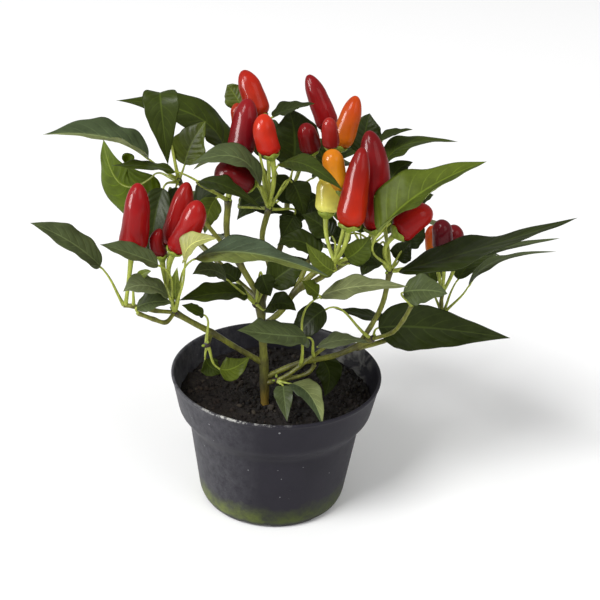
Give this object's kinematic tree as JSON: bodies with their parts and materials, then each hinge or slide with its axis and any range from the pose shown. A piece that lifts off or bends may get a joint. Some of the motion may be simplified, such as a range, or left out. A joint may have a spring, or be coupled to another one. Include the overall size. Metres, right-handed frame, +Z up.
{
  "type": "potted chilli pepper plant",
  "caption": "Bushy ornamental chilli pepper plant with upright fruit, growing in a round tapered nursery pot.",
  "frame": {"origin": "centre of the pot's underside, at the height of the surface it stands on", "axes": "+Z up along the pot's axis, -Y towards the plant's front, +X to the plant's right-hand side seen from the front"},
  "size_m": [0.2811, 0.1771, 0.2482],
  "materials": {
    "pot_plastic": "moulded black plastic, faintly scratched and dusty",
    "peat": "crumbly dark peat",
    "stem": "smooth green bark turning brown and purple at the joints",
    "foliage": "smooth green leaf with pale veins",
    "red_fruit": "glossy red skin",
    "orange_fruit": "glossy orange skin",
    "yellow_fruit": "glossy amber skin",
    "pale_fruit": "glossy pale yellow skin",
    "dark_fruit": "glossy dark red skin"
  },
  "bodies": {
    "root": {"pot": "pot_plastic", "soil": "peat", "trunk": "stem", "spray_left": "foliage", "spray_upper_left": "foliage", "spray_top_left": "foliage", "spray_top": "foliage", "spray_top_right": "foliage", "spray_front_right": "foliage", "spray_right": "foliage", "spray_far_right": "foliage", "spray_low_right": "foliage", "spray_low_left": "foliage", "spray_low_front": "foliage", "spray_centre": "foliage", "spray_back": "foliage", "spray_back_left": "foliage", "spray_back_right": "foliage", "chilli_01": "red_fruit", "chilli_02": "red_fruit", "chilli_03": "red_fruit", "chilli_04": "dark_fruit", "chilli_05": "dark_fruit", "chilli_06": "red_fruit", "chilli_07": "orange_fruit", "chilli_08": "orange_fruit", "chilli_09": "red_fruit", "chilli_10": "red_fruit", "chilli_11": "dark_fruit", "chilli_12": "red_fruit", "chilli_13": "orange_fruit", "chilli_14": "yellow_fruit", "chilli_15": "red_fruit", "chilli_16": "red_fruit", "chilli_17": "pale_fruit", "chilli_18": "red_fruit", "chilli_19": "orange_fruit", "chilli_20": "dark_fruit", "chilli_21": "dark_fruit", "chilli_22": "red_fruit", "chilli_23": "orange_fruit", "chilli_24": "red_fruit"}
  },
  "joints": []
}
